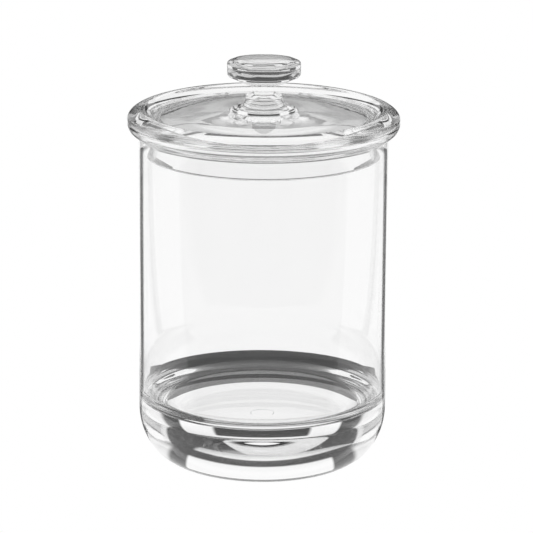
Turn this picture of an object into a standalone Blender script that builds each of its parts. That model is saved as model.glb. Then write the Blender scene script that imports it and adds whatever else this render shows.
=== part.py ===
"""Apothecary jar: a straight, thick-based clear glass jar with a flared lip, a drop-in lid and a
six-sided knob. Metres, +Z up. The origin is the middle of the underside, on the turning axis."""

import math

import bmesh
import bpy
from mathutils import Matrix

MM = 0.001

# Jar body
BODY_RADIUS = 57.15 * MM        # outside of the straight wall, 4-1/2 in across
WALL = 2.0 * MM
HEEL_HEIGHT = 25.0 * MM         # rounding between the wall and the underside
HEEL_WIDTH = 20.5 * MM
FLOOR_TOP = 28.0 * MM           # inside floor above the underside
FLOOR_CORNER_WIDTH = 12.0 * MM  # rounding between the floor and the wall, inside
FLOOR_CORNER_HEIGHT = 8.0 * MM
LIP_TOP = 160.4 * MM
LIP_RADIUS = 62.2 * MM          # widest part of the flared lip
LIP_DROP = 4.9 * MM             # height of the lip's rounded underside
LIP_BULGE = 7.0 * MM            # width of the ellipse that the underside follows
LIP_FLAT = 1.6 * MM             # how far the ground top stops inside the lip's edge
MOUTH_START = 148.0 * MM        # where the inside begins to open out
MOUTH_CURVE = 36.0 * MM         # radius of that opening curve
MOUTH_ANGLE = 20.0              # degrees that it turns through

# Lid
GAP = 0.3 * MM                  # clearance between two pieces that rest on each other
LID_RADIUS = 62.3 * MM
LID_CREST_RADIUS = 54.8 * MM    # ring where the rounded edge is highest
LID_CREST = 166.0 * MM
LID_EDGE_LOW = 161.6 * MM       # where the rounded edge starts, above a small chamfer
DISH_RADIUS = 50.0 * MM         # lowest ring of the dished top, inside the rounded edge
DISH_Z = 163.0 * MM
SLOPE_RADIUS = 16.0 * MM        # the top slopes gently up to this ring
SLOPE_Z = 165.5 * MM
HILL_RADIUS = 13.5 * MM         # then steps up to the foot of the boss
HILL_Z = 167.0 * MM
BOSS_RADIUS = 8.2 * MM          # flat top that carries the knob
BOSS_TOP = 172.4 * MM
PLUG_RADIUS = 53.6 * MM         # plug wall under the flange
PLUG_RADIUS_LOW = 53.0 * MM     # its lower end, a little tapered
PLUG_BOTTOM = 145.3 * MM
PLUG_WALL = 3.2 * MM
PLUG_EDGE = 0.8 * MM            # rounding of its lower edge
CEILING_Z = 159.0 * MM          # underside of the lid inside the plug wall
CEILING_CORNER = 3.0 * MM

# Knob
NECK_RADIUS = 7.1 * MM          # narrowest part of the neck
NECK_WAIST_Z = 175.3 * MM
NECK_TOP_RADIUS = 9.0 * MM      # hidden inside the grip
NECK_TOP_Z = 181.0 * MM
GRIP_SIDES = 6
GRIP_FLAT = 16.35 * MM          # from the axis to each flat of the six-sided girdle
GRIP_CORNER = 12.0 * MM         # rounding of its upright corners
GRIP_LOW = 181.6 * MM
GRIP_HIGH = 187.9 * MM
CROWN_RISE = 1.2 * MM
CROWN_INSET = 6.8 * MM
KEEL_DROP = 3.7 * MM
KEEL_INSET = 7.8 * MM
GRIP_ROUNDING = 1.0 * MM        # rounding of the edges above and below the girdle
CORNER_STEPS = 6

SHARP_ANGLE = 30.0              # degrees, edges left crisp in the shading
ROUNDED_ANGLE = 40.0            # degrees, edges that are rounded over

TURN_STEPS = 64
MERGE = 0.00001

JAR_ROUGHNESS = 0.01
LID_ROUGHNESS = 0.01
KNOB_ROUGHNESS = 0.02


def arc(centre_r, centre_z, half_width, half_height, start, end, steps):
    """Points along an ellipse from start to end, in degrees from the outward direction."""
    angles = [math.radians(start + (end - start) * i / steps) for i in range(steps + 1)]
    return [(centre_r + half_width * math.cos(a), centre_z + half_height * math.sin(a))
            for a in angles]


def smooth_step(start, end, steps):
    """Points of an S-curve that leaves start and reaches end with no slope."""
    points = []
    for i in range(1, steps + 1):
        t = i / steps
        rise = t * t * (3.0 - 2.0 * t)
        points.append((start[0] + (end[0] - start[0]) * t, start[1] + (end[1] - start[1]) * rise))
    return points


def jar_profile():
    """Section from the middle of the floor, up the inside, over the lip and down the outside."""
    bore = BODY_RADIUS - WALL
    points = [(0.0, FLOOR_TOP)]
    points += arc(bore - FLOOR_CORNER_WIDTH, FLOOR_TOP + FLOOR_CORNER_HEIGHT, FLOOR_CORNER_WIDTH,
                  FLOOR_CORNER_HEIGHT, -90.0, 0.0, 10)
    points += arc(bore + MOUTH_CURVE, MOUTH_START, MOUTH_CURVE, MOUTH_CURVE,
                  180.0, 180.0 - MOUTH_ANGLE, 4)
    lip_inner = points[-1][0]
    points.append((lip_inner + 0.9 * MM, LIP_TOP))
    points.append((LIP_RADIUS - LIP_FLAT, LIP_TOP))
    bulge_centre = LIP_RADIUS - LIP_BULGE
    meeting = math.degrees(math.acos((BODY_RADIUS - bulge_centre) / LIP_BULGE))
    points += arc(bulge_centre, LIP_TOP - 0.6 * MM, LIP_BULGE, LIP_DROP, 0.0, -meeting, 8)
    points += arc(BODY_RADIUS - HEEL_WIDTH, HEEL_HEIGHT, HEEL_WIDTH, HEEL_HEIGHT, 0.0, -90.0, 12)
    points.append((0.0, 0.0))
    return points


def lid_profile():
    """Section from the middle of the ceiling, round the plug wall and flange, over the top."""
    inside = PLUG_RADIUS_LOW - PLUG_WALL
    points = [(0.0, CEILING_Z)]
    points += arc(inside - CEILING_CORNER, CEILING_Z - CEILING_CORNER, CEILING_CORNER,
                  CEILING_CORNER, 90.0, 0.0, 4)
    points += arc(inside + PLUG_EDGE, PLUG_BOTTOM + PLUG_EDGE, PLUG_EDGE, PLUG_EDGE,
                  180.0, 270.0, 3)
    points += arc(PLUG_RADIUS_LOW - PLUG_EDGE, PLUG_BOTTOM + PLUG_EDGE, PLUG_EDGE, PLUG_EDGE,
                  -90.0, 0.0, 3)
    points.append((PLUG_RADIUS, LIP_TOP + GAP))
    points.append((LID_RADIUS - LIP_FLAT, LIP_TOP + GAP))
    points += arc(LID_CREST_RADIUS, LID_EDGE_LOW, LID_RADIUS - LID_CREST_RADIUS,
                  LID_CREST - LID_EDGE_LOW, 0.0, 90.0, 8)
    points += smooth_step((LID_CREST_RADIUS, LID_CREST), (DISH_RADIUS, DISH_Z), 4)
    points.append((SLOPE_RADIUS, SLOPE_Z))
    points += smooth_step((SLOPE_RADIUS, SLOPE_Z), (HILL_RADIUS, HILL_Z), 4)
    flare = BOSS_TOP - HILL_Z
    points += arc(BOSS_RADIUS + flare, BOSS_TOP, flare, flare, -100.0, -180.0, 6)[1:]
    points.append((0.0, BOSS_TOP))
    return points[::-1]


def neck_profile():
    """Section down the waisted neck that is cemented to the lid's boss."""
    foot = BOSS_TOP + GAP
    waist = NECK_WAIST_Z
    points = [(0.0, NECK_TOP_Z), (NECK_TOP_RADIUS, NECK_TOP_Z)]
    points += smooth_step((NECK_TOP_RADIUS, NECK_TOP_Z), (NECK_RADIUS, waist), 6)
    points += smooth_step((NECK_RADIUS, waist), (BOSS_RADIUS, foot), 4)
    points.append((0.0, foot))
    return points


def clear_scene():
    for item in list(bpy.data.objects):
        bpy.data.objects.remove(item, do_unlink=True)


def new_collection(name):
    group = bpy.data.collections.new(name)
    bpy.context.scene.collection.children.link(group)
    return group


def clear_glass(name, roughness):
    glass = bpy.data.materials.new(name)
    glass.use_nodes = True
    shader = glass.node_tree.nodes["Principled BSDF"]
    shader.inputs["Base Color"].default_value = (0.97, 0.98, 0.98, 1.0)
    shader.inputs["Roughness"].default_value = roughness
    shader.inputs["Metallic"].default_value = 0.0
    shader.inputs["IOR"].default_value = 1.5
    shader.inputs["Transmission Weight"].default_value = 1.0
    return glass


def add_object(name, mesh, group, glass):
    item = bpy.data.objects.new(name, mesh)
    mesh.materials.append(glass)
    group.objects.link(item)
    return item


def turned(name, profile, group, glass):
    """A turned piece: its section swept round Z by a Screw modifier."""
    mesh = bpy.data.meshes.new(name)
    edges = [(i, i + 1) for i in range(len(profile) - 1)]
    mesh.from_pydata([(r, 0.0, z) for r, z in profile], edges, [])
    item = add_object(name, mesh, group, glass)
    screw = item.modifiers.new("Turn", "SCREW")
    screw.axis = "Z"
    screw.angle = 2.0 * math.pi
    screw.steps = TURN_STEPS
    screw.render_steps = TURN_STEPS
    screw.use_merge_vertices = True
    screw.merge_threshold = MERGE
    screw.use_smooth_shade = True
    return item


def grip_mesh(name):
    """The grip: a soft-cornered hexagon sloping in above and below it, a flat towards -Y."""
    half_side = math.pi / GRIP_SIDES
    corner_radius = GRIP_FLAT / math.cos(half_side)
    mesh = bpy.data.meshes.new(name)
    shape = bmesh.new()
    bmesh.ops.create_cone(shape, cap_ends=True, segments=GRIP_SIDES, radius1=corner_radius,
                          radius2=corner_radius, depth=GRIP_HIGH - GRIP_LOW)
    bmesh.ops.rotate(shape, verts=shape.verts, matrix=Matrix.Rotation(half_side, 3, "Z"))
    bmesh.ops.translate(shape, verts=shape.verts, vec=(0.0, 0.0, (GRIP_HIGH + GRIP_LOW) / 2.0))
    shape.edges.ensure_lookup_table()
    upright = [edge for edge in shape.edges if abs(edge.verts[0].co.z - edge.verts[1].co.z) > MM]
    bmesh.ops.bevel(shape, geom=upright, offset=GRIP_CORNER * math.tan(half_side),
                    offset_type="OFFSET", segments=CORNER_STEPS, profile=0.5, affect="EDGES")
    top = [face for face in shape.faces if face.normal.z > 0.5]
    bottom = [face for face in shape.faces if face.normal.z < -0.5]
    bmesh.ops.inset_region(shape, faces=top, thickness=CROWN_INSET, depth=CROWN_RISE)
    bmesh.ops.inset_region(shape, faces=bottom, thickness=KEEL_INSET, depth=KEEL_DROP)
    shape.to_mesh(mesh)
    shape.free()
    return mesh


def knob(group, tools, glass):
    """The grip with its edges rounded, joined to the turned neck below it."""
    grip = add_object("knob", grip_mesh("knob"), group, glass)
    bevel = grip.modifiers.new("Rounded edges", "BEVEL")
    bevel.width = GRIP_ROUNDING
    bevel.segments = 3
    bevel.limit_method = "ANGLE"
    bevel.angle_limit = math.radians(ROUNDED_ANGLE)
    neck = turned("neck_to_join", neck_profile(), tools, glass)
    neck.hide_render = True
    neck.display_type = "WIRE"
    join = grip.modifiers.new("Neck", "BOOLEAN")
    join.operation = "UNION"
    join.object = neck
    grip.data.shade_smooth()
    grip.data.set_sharp_from_angle(angle=math.radians(SHARP_ANGLE))
    return grip


def build():
    clear_scene()
    parts = new_collection("apothecary_jar")
    tools = new_collection("shapes_to_join")
    turned("jar_body", jar_profile(), parts, clear_glass("jar_glass", JAR_ROUGHNESS))
    turned("lid", lid_profile(), parts, clear_glass("lid_glass", LID_ROUGHNESS))
    knob(parts, tools, clear_glass("knob_glass", KNOB_ROUGHNESS))


build()
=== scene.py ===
import math

import bpy
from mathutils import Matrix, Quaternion, Vector


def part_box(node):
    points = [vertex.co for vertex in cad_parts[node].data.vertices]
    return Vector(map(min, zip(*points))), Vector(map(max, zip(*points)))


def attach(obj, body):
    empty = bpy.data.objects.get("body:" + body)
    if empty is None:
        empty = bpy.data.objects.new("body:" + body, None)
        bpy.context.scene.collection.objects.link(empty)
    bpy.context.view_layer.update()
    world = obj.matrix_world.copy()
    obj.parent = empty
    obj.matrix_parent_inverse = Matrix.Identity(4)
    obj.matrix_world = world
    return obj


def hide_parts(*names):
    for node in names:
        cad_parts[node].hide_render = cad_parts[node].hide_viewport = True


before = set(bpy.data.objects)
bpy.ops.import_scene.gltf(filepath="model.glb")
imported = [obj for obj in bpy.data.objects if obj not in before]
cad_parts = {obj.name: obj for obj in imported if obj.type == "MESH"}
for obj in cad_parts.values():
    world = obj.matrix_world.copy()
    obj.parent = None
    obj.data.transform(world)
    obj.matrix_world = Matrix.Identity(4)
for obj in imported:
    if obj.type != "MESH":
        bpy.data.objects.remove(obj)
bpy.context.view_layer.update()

# ---- Jar body ---------------------------------------------------------------------------------
# The jar is one blown and pressed piece of clear glass: a straight thin wall, a thick base with a
# big rounded heel, and a lip that flares out to carry the lid. It is turned from its half section.

bpy.ops.object.select_all(action="DESELECT")
MM = 0.001
jar_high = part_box("jar_body")[1]
lip_radius = jar_high[0]
lip_top = jar_high[2]
body_radius = 57.15 * MM
wall = 2.0 * MM
bore = body_radius - wall
heel_width = 20.5 * MM
heel_height = 25.0 * MM
floor_top = 28.0 * MM
floor_corner_width = 12.0 * MM
floor_corner_height = 8.0 * MM
mouth_start = 148.0 * MM
mouth_curve = 36.0 * MM
mouth_angle = 20.0
lip_bulge = 7.0 * MM
lip_drop = 4.9 * MM
lip_edge = 1.0 * MM
lip_inner_edge = 0.9 * MM
lip_fillet = 1.4 * MM
gate_radius = 5.5 * MM
gate_depth = 0.25 * MM
TURN_STEPS = 240


def arc(centre, size, start, end, steps):
    """Points on an ellipse in the half section, angles in degrees from the outward direction."""
    points = []
    for i in range(steps + 1):
        angle = math.radians(start + (end - start) * i / steps)
        points.append((centre[0] + size[0] * math.cos(angle), centre[1] + size[1] * math.sin(angle)))
    return points


def s_curve(start, end, steps):
    """Points that leave start and reach end with no slope; start itself is left out."""
    points = []
    for i in range(1, steps + 1):
        t = i / steps
        rise = t * t * (3.0 - 2.0 * t)
        points.append((start[0] + (end[0] - start[0]) * t, start[1] + (end[1] - start[1]) * rise))
    return points


def turn(name, section):
    """A solid of revolution: one vertex is drawn out along the half section and spun round Z."""
    start = section[0]
    bpy.ops.mesh.primitive_plane_add(size=MM, location=(0.0, 0.0, 0.0))
    piece = bpy.context.object
    piece.name = name
    piece.data.name = name
    bpy.ops.object.mode_set(mode="EDIT")
    bpy.ops.mesh.select_all(action="SELECT")
    bpy.ops.mesh.merge(type="CENTER")
    bpy.ops.transform.translate(value=(start[0], 0.0, start[1]))
    here = start
    for point in section[1:]:
        step = (point[0] - here[0], 0.0, point[1] - here[1])
        if abs(step[0]) + abs(step[2]) < 1e-7:
            continue
        bpy.ops.mesh.extrude_region_move(TRANSFORM_OT_translate={"value": step})
        here = point
    bpy.ops.mesh.select_all(action="SELECT")
    bpy.ops.mesh.spin(steps=TURN_STEPS, angle=2.0 * math.pi,
                      center=(0.0, 0.0, 0.0), axis=(0.0, 0.0, 1.0))
    bpy.ops.mesh.select_all(action="SELECT")
    bpy.ops.mesh.remove_doubles(threshold=1e-6)
    bpy.ops.mesh.normals_make_consistent(inside=False)
    bpy.ops.object.mode_set(mode="OBJECT")
    bpy.ops.object.shade_smooth_by_angle(angle=math.radians(40.0))
    return piece


def clear_glass(name, waviness, wave_scale, edge_shade):
    """Clear glass, its surface very slightly uneven, with painted shade: its colour darkens where it
    is seen edge on.
    """
    glass = bpy.data.materials.new(name)
    glass.use_nodes = True
    nodes = glass.node_tree.nodes
    links = glass.node_tree.links
    shader = nodes["Principled BSDF"]
    shader.inputs["Transmission Weight"].default_value = 1.0
    shader.inputs["IOR"].default_value = 1.5
    shader.inputs["Roughness"].default_value = 0.0
    place = nodes.new("ShaderNodeTexCoord")
    waves = nodes.new("ShaderNodeTexNoise")
    waves.inputs["Scale"].default_value = wave_scale
    waves.inputs["Detail"].default_value = 2.0
    tint = nodes.new("ShaderNodeValToRGB")
    tint.color_ramp.elements[0].color = (0.972, 0.972, 0.972, 1.0)
    tint.color_ramp.elements[1].color = (0.985, 0.985, 0.985, 1.0)
    # Painted shade: the colour darkens down to edge_shade where the glass is seen edge on, which
    # draws dark outlines.
    facing = nodes.new("ShaderNodeLayerWeight")
    facing.inputs["Blend"].default_value = 0.5
    edge = nodes.new("ShaderNodeMapRange")
    edge.inputs["From Min"].default_value = 0.7
    edge.inputs["To Min"].default_value = 1.0
    edge.inputs["To Max"].default_value = edge_shade
    colour = nodes.new("ShaderNodeVectorMath")
    colour.operation = "SCALE"
    bump = nodes.new("ShaderNodeBump")
    bump.inputs["Strength"].default_value = 1.0
    bump.inputs["Distance"].default_value = waviness
    links.new(place.outputs["Object"], waves.inputs["Vector"])
    links.new(waves.outputs["Fac"], tint.inputs["Fac"])
    links.new(facing.outputs["Facing"], edge.inputs["Value"])
    links.new(tint.outputs["Color"], colour.inputs[0])
    links.new(edge.outputs["Result"], colour.inputs["Scale"])
    links.new(colour.outputs["Vector"], shader.inputs["Base Color"])
    links.new(waves.outputs["Fac"], bump.inputs["Height"])
    links.new(bump.outputs["Normal"], shader.inputs["Normal"])
    return glass


jar_section = [(0.0, floor_top)]
jar_section += arc((bore - floor_corner_width, floor_top + floor_corner_height),
                   (floor_corner_width, floor_corner_height), -90, 0, 32)
jar_section += arc((bore + mouth_curve, mouth_start), (mouth_curve, mouth_curve),
                   180, 180 - mouth_angle, 14)
mouth_radius = jar_section[-1][0]
jar_section += arc((mouth_radius + lip_inner_edge, lip_top - lip_inner_edge),
                   (lip_inner_edge, lip_inner_edge), 170, 90, 6)
jar_section += arc((lip_radius - lip_edge, lip_top - lip_edge), (lip_edge, lip_edge), 90, 0, 8)
bulge_centre = lip_radius - lip_bulge
bulge_end = -math.degrees(math.acos((body_radius + 0.4 * MM - bulge_centre) / lip_bulge))
jar_section += arc((bulge_centre, lip_top - lip_edge), (lip_bulge, lip_drop), 0, bulge_end, 24)
under_lip = jar_section[-1]
jar_section += [(body_radius + 0.12 * MM, under_lip[1] - 0.4 * MM)]
jar_section += [(body_radius, under_lip[1] - lip_fillet)]
jar_section += arc((body_radius - heel_width, heel_height), (heel_width, heel_height), 0, -90, 60)
jar_section += [(gate_radius, 0.0), (gate_radius - gate_depth, gate_depth), (0.0, gate_depth)]
jar = turn("jar_glass_body", jar_section)
jar.data.materials.append(clear_glass("Jar glass", 0.02 * MM, 40.0, 0.85))
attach(jar, "jar")
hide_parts("jar_body")

# ---- Lid --------------------------------------------------------------------------------------
# The lid is pressed glass: a rounded flange that rests on the lip, a dished top that rises to a
# small boss, and a hollow plug that drops into the mouth.

bpy.ops.object.select_all(action="DESELECT")
lid_low, lid_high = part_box("lid")
lid_radius = lid_high[0]
plug_bottom = lid_low[2]
boss_top = lid_high[2]
seat_gap = 0.05 * MM
lid_seat = lip_top + seat_gap
flange_edge = 1.0 * MM
flange_low = 161.6 * MM
crest_radius = 54.8 * MM
crest = 166.0 * MM
dish_radius = 50.0 * MM
dish = 163.0 * MM
slope_radius = 16.0 * MM
slope = 165.5 * MM
hill_radius = 13.5 * MM
hill = 167.0 * MM
boss_radius = 8.2 * MM
plug_radius = 53.6 * MM
plug_radius_low = 53.0 * MM
plug_wall = 3.2 * MM
plug_edge = 0.8 * MM
ceiling = 159.0 * MM
ceiling_corner = 3.0 * MM


def cemented_joint(name):
    """Clear cement hides the two faces that it joins: light goes straight on through them."""
    joint = bpy.data.materials.new(name)
    joint.use_nodes = True
    joint.node_tree.nodes["Principled BSDF"].inputs["Alpha"].default_value = 0.0
    return joint


hollow = plug_radius_low - plug_wall
lid_section = [(0.0, ceiling)]
lid_section += arc((hollow - ceiling_corner, ceiling - ceiling_corner),
                   (ceiling_corner, ceiling_corner), 90, 0, 12)
lid_section += arc((hollow + plug_edge, plug_bottom + plug_edge), (plug_edge, plug_edge), 180, 270, 6)
lid_section += arc((plug_radius_low - plug_edge, plug_bottom + plug_edge),
                   (plug_edge, plug_edge), -90, 0, 6)
lid_section += [(plug_radius, lid_seat - flange_edge)]
lid_section += arc((plug_radius + flange_edge, lid_seat - flange_edge),
                   (flange_edge, flange_edge), 180, 90, 5)
lid_section += arc((lid_radius - flange_edge, lid_seat + flange_edge),
                   (flange_edge, flange_edge), -90, 0, 8)
lid_section += arc((crest_radius, flange_low), (lid_radius - crest_radius, crest - flange_low),
                   0, 90, 40)
lid_section += s_curve((crest_radius, crest), (dish_radius, dish), 20)
lid_section += [(slope_radius, slope)]
lid_section += s_curve((slope_radius, slope), (hill_radius, hill), 20)
flare = boss_top - hill
lid_section += arc((boss_radius + flare, boss_top), (flare, flare), -100, -180, 20)
lid_section += [(0.0, boss_top)]
lid = turn("lid_glass_cover", lid_section)
lid.data.materials.append(clear_glass("Lid glass", 0.03 * MM, 60.0, 0.3))
lid.data.materials.append(cemented_joint("Cemented joint"))
for face in lid.data.polygons:
    if face.center.z > boss_top - 0.001 * MM and face.normal.z > 0.99:
        face.material_index = 1
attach(lid, "lid")
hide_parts("lid")

# ---- Knob -------------------------------------------------------------------------------------
# The knob is a six-sided pressed finial with soft corners, a flat table and a sloping underside,
# joined to the lid's boss by a short waisted neck.

bpy.ops.object.select_all(action="DESELECT")
knob_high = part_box("knob")[1]
grip_flat = 16.35 * MM
grip_corner = 12.0 * MM
girdle_low = 181.6 * MM
girdle_high = 187.9 * MM
crown_rise = knob_high[2] - girdle_high
crown_inset = 6.8 * MM
keel_drop = 3.7 * MM
keel_inset = 7.8 * MM
girdle_edge = 1.0 * MM
neck_radius = 7.1 * MM
waist = 175.3 * MM
neck_top_radius = 9.0 * MM
neck_top = 181.0 * MM
cement_thickness = 0.02 * MM
neck_foot = boss_top + cement_thickness
KNOB_SIDES = 6


def select_faces(piece, wanted):
    """Selects, in face mode, the faces for which wanted(face) is true."""
    bpy.ops.mesh.select_all(action="DESELECT")
    bpy.ops.mesh.select_mode(type="FACE")
    bpy.ops.object.mode_set(mode="OBJECT")
    for face in piece.data.polygons:
        face.select = wanted(face)
    bpy.ops.object.mode_set(mode="EDIT")


half_side = math.pi / KNOB_SIDES
corner_radius = grip_flat / math.cos(half_side)
bpy.ops.mesh.primitive_cylinder_add(vertices=KNOB_SIDES, radius=corner_radius,
                                    depth=girdle_high - girdle_low,
                                    location=(0.0, 0.0, (girdle_high + girdle_low) / 2.0),
                                    rotation=(0.0, 0.0, half_side))
grip = bpy.context.object
grip.name = "knob_glass_grip"
grip.data.name = "knob_glass_grip"
bpy.ops.object.transform_apply(location=True, rotation=True, scale=True)
bpy.ops.object.mode_set(mode="EDIT")
bpy.ops.mesh.select_mode(type="EDGE")
bpy.ops.mesh.select_all(action="DESELECT")
bpy.ops.object.mode_set(mode="OBJECT")
for edge in grip.data.edges:
    ends = [grip.data.vertices[i].co.z for i in edge.vertices]
    edge.select = abs(ends[0] - ends[1]) > MM
bpy.ops.object.mode_set(mode="EDIT")
bpy.ops.mesh.bevel(offset=grip_corner * math.tan(half_side), offset_type="OFFSET",
                   segments=12, profile=0.5)
select_faces(grip, lambda face: face.normal.z > 0.9)
bpy.ops.mesh.inset(thickness=crown_inset, depth=crown_rise)
select_faces(grip, lambda face: face.normal.z < -0.9)
bpy.ops.mesh.inset(thickness=keel_inset, depth=keel_drop)
bpy.ops.object.mode_set(mode="OBJECT")
rounding = grip.modifiers.new("Rounded edges", "BEVEL")
rounding.width = girdle_edge
rounding.segments = 5
rounding.limit_method = "ANGLE"
rounding.angle_limit = math.radians(40.0)
bpy.ops.object.modifier_apply(modifier=rounding.name)

neck_section = [(0.0, neck_top), (neck_top_radius, neck_top)]
neck_section += s_curve((neck_top_radius, neck_top), (neck_radius, waist), 14)
neck_section += s_curve((neck_radius, waist), (boss_radius, neck_foot), 10)
neck_section += [(0.0, neck_foot)]
bpy.ops.object.select_all(action="DESELECT")
neck = turn("neck", neck_section)
bpy.ops.object.select_all(action="DESELECT")
grip.select_set(True)
bpy.context.view_layer.objects.active = grip
join = grip.modifiers.new("Neck", "BOOLEAN")
join.operation = "UNION"
join.object = neck
bpy.ops.object.modifier_apply(modifier=join.name)
bpy.data.objects.remove(neck)
bpy.ops.object.shade_smooth_by_angle(angle=math.radians(30.0))
grip.data.materials.clear()
grip.data.materials.append(clear_glass("Knob glass", 0.02 * MM, 90.0, 0.25))
grip.data.materials.append(lid.data.materials[1])
for face in grip.data.polygons:
    face.material_index = int(face.normal.z < -0.99 and face.center.z < neck_foot + 0.001 * MM)
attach(grip, "lid")
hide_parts("knob")

# ---- Floor, backdrop and light ----------------------------------------------------------------
# A white table that glows evenly, in a white studio. A dark sheet on the table round the back of
# the jar's foot is painted shadow of the jar, with the table left white right under the foot. Dark
# flags and a dark card lie on the table behind the jar, and a grey card before it. They are seen
# only through the glass and in its reflections, where they give it its dark edges.

bpy.ops.object.select_all(action="DESELECT")
table_height = -0.2 * MM
flag_height = -0.12 * MM
card_height = -0.10 * MM
foot_disc_height = -0.05 * MM


def glow(name, grey):
    """A plain card that gives out an even light of its own."""
    material = bpy.data.materials.new(name)
    material.use_nodes = True
    shader = material.node_tree.nodes["Principled BSDF"]
    shader.inputs["Base Color"].default_value = (0.0, 0.0, 0.0, 1.0)
    shader.inputs["Specular IOR Level"].default_value = 0.0
    shader.inputs["Roughness"].default_value = 1.0
    shader.inputs["Emission Color"].default_value = (grey, grey, grey, 1.0)
    shader.inputs["Emission Strength"].default_value = 1.0
    return material


bpy.ops.mesh.primitive_plane_add(size=6.0, location=(0.0, 0.0, table_height))
table = bpy.context.object
table.name = "table"
table.data.materials.append(glow("Table white", 1.0))

foot_disc_radius = 45.0 * MM
foot_disc_back = 4.0 * MM
painted_shadow_half_width = 74.0 * MM
painted_shadow_near = 15.0 * MM
painted_shadow_radius = 154.0 * MM
# Painted shadow: a dark sheet, hidden from the camera, lies on the table round the back of the jar's
# foot, where the jar's shadow falls.
bpy.ops.mesh.primitive_circle_add(vertices=96, radius=painted_shadow_radius, fill_type="NGON",
                                  location=(0.0, 0.0, card_height))
painted_shadow = bpy.context.object
painted_shadow.name = "painted_shadow"
bpy.ops.object.transform_apply(location=True, rotation=True, scale=True)
bpy.ops.object.mode_set(mode="EDIT")
cuts = (((0.0, painted_shadow_near, 0.0), (0.0, -1.0, 0.0)),
        ((painted_shadow_half_width, 0.0, 0.0), (1.0, 0.0, 0.0)),
        ((-painted_shadow_half_width, 0.0, 0.0), (-1.0, 0.0, 0.0)))
for point, outward in cuts:
    bpy.ops.mesh.select_all(action="SELECT")
    bpy.ops.mesh.bisect(plane_co=point, plane_no=outward, clear_outer=True)
bpy.ops.object.mode_set(mode="OBJECT")
painted_shadow.data.materials.append(glow("Painted shadow", 0.02))
painted_shadow.visible_camera = False

# The foot disc keeps the table white right under the jar's foot, inside the painted shadow.
bpy.ops.mesh.primitive_circle_add(vertices=96, radius=foot_disc_radius, fill_type="NGON",
                                  location=(0.0, foot_disc_back, foot_disc_height))
foot_disc = bpy.context.object
foot_disc.name = "foot_disc"
foot_disc.data.materials.append(glow("Foot disc white", 0.95))
foot_disc.visible_camera = False

flag_start = 0.045
flag_end = 2.5
flag_azimuth = math.radians(27.0)
flag_spread = math.tan(math.radians(7.0))
flag_offset = 0.9 * bore
for side, side_name in ((-1.0, "left"), (1.0, "right")):
    bpy.ops.mesh.primitive_plane_add(size=2.0, location=(0.0, 0.0, 0.0))
    flag = bpy.context.object
    flag.name = "flag_" + side_name
    for corner in flag.data.vertices:
        reach = flag_end if corner.co.y > 0.0 else flag_start
        corner.co = Vector((corner.co.x * reach * flag_spread, reach, 0.0))
    flag.rotation_euler = (0.0, 0.0, -side * flag_azimuth)
    flag.location = (side * flag_offset, 0.0, flag_height)
    bpy.ops.object.transform_apply(location=True, rotation=True, scale=True)
    flag.data.materials.append(glow("Flag " + side_name, 0.15))
    flag.visible_camera = False

front_card_edge = -0.090
front_card_half_width = 2.5
front_card_half_depth = 1.25
bpy.ops.mesh.primitive_plane_add(size=2.0, location=(0.0, 0.0, 0.0))
front_card = bpy.context.object
front_card.name = "front_card"
front_card.scale = (front_card_half_width, front_card_half_depth, 1.0)
front_card.location = (0.0, front_card_edge - front_card_half_depth, flag_height)
bpy.ops.object.transform_apply(location=True, rotation=True, scale=True)
front_card.data.materials.append(glow("Front card grey", 0.62))
front_card.visible_camera = False

far_card_edge = 1.9
far_card_half_width = 0.7
far_card_half_depth = 0.55
bpy.ops.mesh.primitive_plane_add(size=2.0, location=(0.0, 0.0, 0.0))
far_card = bpy.context.object
far_card.name = "far_card"
far_card.scale = (far_card_half_width, far_card_half_depth, 1.0)
far_card.location = (0.0, far_card_edge + far_card_half_depth, card_height)
bpy.ops.object.transform_apply(location=True, rotation=True, scale=True)
far_card.data.materials.append(glow("Far card dark", 0.12))
far_card.visible_camera = False

bar_darkness = 0.95
side_wall_grey = 0.9
front_wall_grey = 0.6
ceiling_grey = 0.4
room_grey = 0.06
world = bpy.data.worlds.new("Studio")
bpy.context.scene.world = world
world.use_nodes = True
nodes = world.node_tree.nodes
links = world.node_tree.links
nodes.clear()


def calculate(operation, *values):
    """A Math node fed with sockets or numbers; gives its output."""
    node = nodes.new("ShaderNodeMath")
    node.operation = operation
    for slot, value in zip(node.inputs, values):
        if isinstance(value, (int, float)):
            slot.default_value = value
        else:
            links.new(value, slot)
    return node.outputs[0]


def between(value, low, high, soft):
    """1 where value lies between low and high degrees, fading over soft degrees, else 0."""
    parts = []
    for edge, start, end in ((low, 0.0, 1.0), (high, 1.0, 0.0)):
        ramp = nodes.new("ShaderNodeMapRange")
        ramp.interpolation_type = "SMOOTHSTEP"
        ramp.inputs["From Min"].default_value = math.radians(edge - soft)
        ramp.inputs["From Max"].default_value = math.radians(edge + soft)
        ramp.inputs["To Min"].default_value = start
        ramp.inputs["To Max"].default_value = end
        links.new(value, ramp.inputs["Value"])
        parts.append(ramp.outputs[0])
    return calculate("MULTIPLY", *parts)


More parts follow.
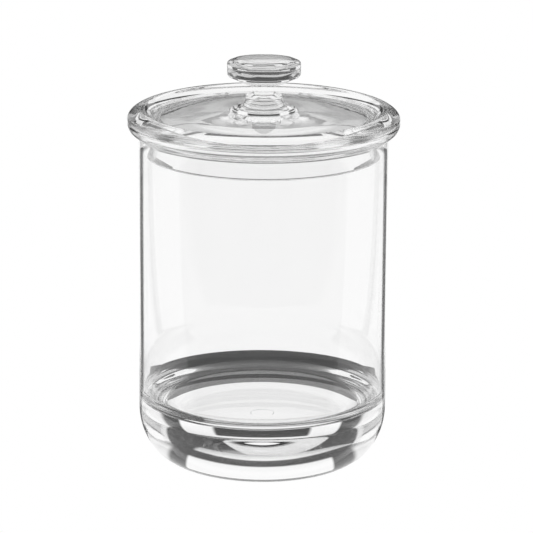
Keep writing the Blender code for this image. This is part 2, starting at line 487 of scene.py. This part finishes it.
direction = nodes.new("ShaderNodeTexCoord")
split = nodes.new("ShaderNodeSeparateXYZ")
links.new(direction.outputs["Generated"], split.inputs[0])
turned_by = calculate("ARCTAN2", split.outputs["X"], split.outputs["Y"])
around = calculate("ABSOLUTE", turned_by)
up = calculate("ARCSINE", split.outputs["Z"])
below = -95.0
screen = calculate("MULTIPLY", between(turned_by, -29.0, 31.0, 1.0), between(up, below, 20.5, 0.7))
bar = calculate("MULTIPLY", between(turned_by, -16.0, 16.0, 1.0), between(up, -4.0, 14.5, 0.7))
open_part = calculate("SUBTRACT", 1.0, calculate("MULTIPLY", bar, bar_darkness))
screen = calculate("MULTIPLY", screen, open_part)
softbox = calculate("MULTIPLY", between(turned_by, -65.0, 30.0, 2.0), between(up, 26.0, 78.0, 1.0))
side_walls = calculate("MULTIPLY", between(around, 43.0, 112.0, 3.0), between(up, below, 22.0, 3.0))
front_wall = calculate("MULTIPLY", between(around, 110.0, 210.0, 14.0), between(up, below, 24.0, 4.0))
ceiling_light = between(up, 66.0, 100.0, 5.0)
light = calculate("MAXIMUM", screen, softbox)
light = calculate("MAXIMUM", light, calculate("MULTIPLY", side_walls, side_wall_grey))
light = calculate("MAXIMUM", light, calculate("MULTIPLY", front_wall, front_wall_grey))
light = calculate("MAXIMUM", light, calculate("MULTIPLY", ceiling_light, ceiling_grey))
light = calculate("MAXIMUM", light, room_grey)
surround = nodes.new("ShaderNodeBackground")
links.new(light, surround.inputs["Color"])
backdrop = nodes.new("ShaderNodeBackground")
backdrop.inputs["Color"].default_value = (1.0, 1.0, 1.0, 1.0)
path = nodes.new("ShaderNodeLightPath")
pick = nodes.new("ShaderNodeMixShader")
links.new(path.outputs["Is Camera Ray"], pick.inputs[0])
links.new(surround.outputs[0], pick.inputs[1])
links.new(backdrop.outputs[0], pick.inputs[2])
finish = nodes.new("ShaderNodeOutputWorld")
links.new(pick.outputs[0], finish.inputs[0])

# ---- Camera -----------------------------------------------------------------------------------
# A long lens looks down at the jar by a little more than fifteen degrees, with one flat of the
# knob towards it.

camera_height = math.radians(15.4)
camera_distance = 1.62
aim = Vector((1.62 * MM, 0.0, 91.38 * MM))
away_from = Vector((0.0, -math.cos(camera_height), math.sin(camera_height)))
camera_data = bpy.data.cameras.new("Camera")
camera_data.sensor_width = 36.0
camera_data.lens = 237.2
camera_data.clip_end = 20.0
camera = bpy.data.objects.new("Camera", camera_data)
bpy.context.scene.collection.objects.link(camera)
camera.location = aim + camera_distance * away_from
camera.rotation_mode = "QUATERNION"
level = (-away_from).to_track_quat("-Z", "Y")
camera.rotation_quaternion = level @ Quaternion((0.0, 0.0, 1.0), math.radians(0.32))
bpy.context.scene.camera = camera

scene = bpy.context.scene
scene.cycles.max_bounces = 24
scene.cycles.transmission_bounces = 24
scene.cycles.glossy_bounces = 24
scene.view_settings.view_transform = "Standard"
